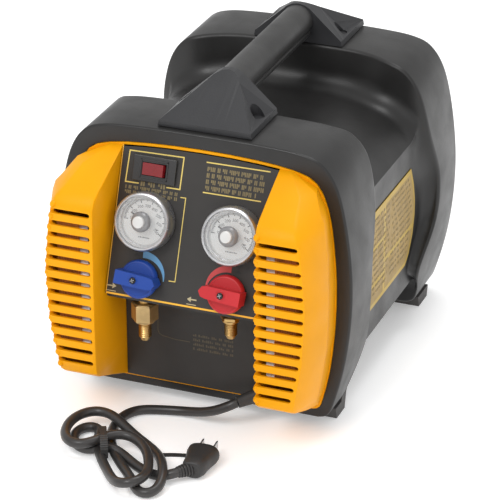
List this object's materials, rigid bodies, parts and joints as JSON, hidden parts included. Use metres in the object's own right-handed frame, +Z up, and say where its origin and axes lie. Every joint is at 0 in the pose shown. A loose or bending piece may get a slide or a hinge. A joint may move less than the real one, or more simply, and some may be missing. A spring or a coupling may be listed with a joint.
{
  "type": "portable refrigerant recovery machine",
  "caption": "Portable refrigerant recovery machine: moulded case, condenser grilles, gauges, inlet and outlet valves, flare ports, carry handle and tied mains cord.",
  "frame": {"origin": "on the floor under the middle of the case", "axes": "+X to the object's own right seen from the front, +Y from the fascia to the back, +Z up"},
  "size_m": [0.2836, 0.4905, 0.3092],
  "materials": {
    "case_plastic": "satin moulded, fine texture",
    "fascia_plastic": "satin moulded",
    "panel_sheet": "satin printed",
    "rubber": "matt",
    "brass": "machined",
    "steel": "plain",
    "painted_steel": "satin paint",
    "aluminium": "as cast or folded",
    "copper": "drawn copper tube",
    "white_enamel": "satin",
    "clear_plastic": "clear, polished",
    "blue_plastic": "satin",
    "red_plastic": "satin",
    "label_film": "printed film"
  },
  "bodies": {
    "case": {"base_plate": "steel", "case_shell": "case_plastic", "control_panel": "panel_sheet", "cord_gland": "rubber", "cord_hank": "rubber", "cord_lead": "rubber", "crankcase": "aluminium", "discharge_line": "copper", "fan_shroud": "steel", "front_fascia": "fascia_plastic", "front_handle_bracket": "case_plastic", "front_left_foot": "rubber", "front_right_foot": "rubber", "handle_bar": "steel", "handle_grip": "rubber", "inlet_filter_body": "brass", "inlet_flare_nipple": "brass", "inlet_gauge_case": "steel", "inlet_gauge_dial": "white_enamel", "inlet_gauge_lens": "clear_plastic", "inlet_valve_body": "brass", "left_condenser_core": "aluminium", "left_condenser_frame": "aluminium", "left_cylinder": "aluminium", "left_cylinder_head": "aluminium", "mains_plug": "rubber", "motor_cradle": "steel", "motor_housing": "painted_steel", "outlet_fitting": "brass", "outlet_gauge_case": "steel", "outlet_gauge_dial": "white_enamel", "outlet_gauge_lens": "clear_plastic", "outlet_valve_body": "brass", "rear_cover": "case_plastic", "rear_handle_bracket": "case_plastic", "rear_left_foot": "rubber", "rear_right_foot": "rubber", "recess_panel": "panel_sheet", "right_condenser_core": "aluminium", "right_condenser_frame": "aluminium", "right_cylinder": "aluminium", "right_cylinder_head": "aluminium", "run_capacitor": "aluminium", "side_label": "label_film", "suction_line": "copper", "switch_housing": "case_plastic"},
    "inlet_valve": {"inlet_valve_knob": "blue_plastic", "inlet_valve_stem": "brass", "inlet_knob_screw": "steel"},
    "outlet_valve": {"outlet_valve_knob": "red_plastic", "outlet_valve_stem": "brass", "outlet_knob_screw": "steel"},
    "inlet_needle": {"inlet_gauge_needle": "painted_steel"},
    "outlet_needle": {"outlet_gauge_needle": "painted_steel"},
    "power_switch": {"power_rocker": "red_plastic"},
    "rotor": {"crank_shaft": "steel", "motor_rotor": "steel", "cooling_fan": "case_plastic"},
    "piston": {"piston_yoke": "steel"}
  },
  "joints": [
    {"name": "inlet_valve_turn", "type": "hinge", "parent": "case", "child": "inlet_valve", "pos_m": [-0.0414, -0.16279, 0.14359], "axis": [0, -0.9399, 0.3414], "range_deg": [0, 90]},
    {"name": "outlet_valve_turn", "type": "hinge", "parent": "case", "child": "outlet_valve", "pos_m": [0.0414, -0.16279, 0.14359], "axis": [0, -0.9399, 0.3414], "range_deg": [-90, 0]},
    {"name": "inlet_needle_sweep", "type": "hinge", "parent": "case", "child": "inlet_needle", "pos_m": [-0.0414, -0.14497, 0.19265], "axis": [0, 0.9399, -0.3414], "range_deg": [0, 270], "stiffness_Nm_per_rad": 0.0005},
    {"name": "outlet_needle_sweep", "type": "hinge", "parent": "case", "child": "outlet_needle", "pos_m": [0.0414, -0.14497, 0.19265], "axis": [0, 0.9399, -0.3414], "range_deg": [0, 270], "stiffness_Nm_per_rad": 0.0005},
    {"name": "power_switch_rock", "type": "hinge", "parent": "case", "child": "power_switch", "pos_m": [-0.0405, -0.12846, 0.23517], "axis": [0, 0.3414, 0.9399], "range_deg": [0, 16]},
    {"name": "rotor_spin", "type": "hinge", "parent": "case", "child": "rotor", "pos_m": [0, 0.05, 0.125], "axis": [0, 1, 0], "continuous": true},
    {"name": "piston_stroke", "type": "slide", "parent": "case", "child": "piston", "axis": [1, 0, 0], "range_m": [-0.008, 0.008]}
  ]
}
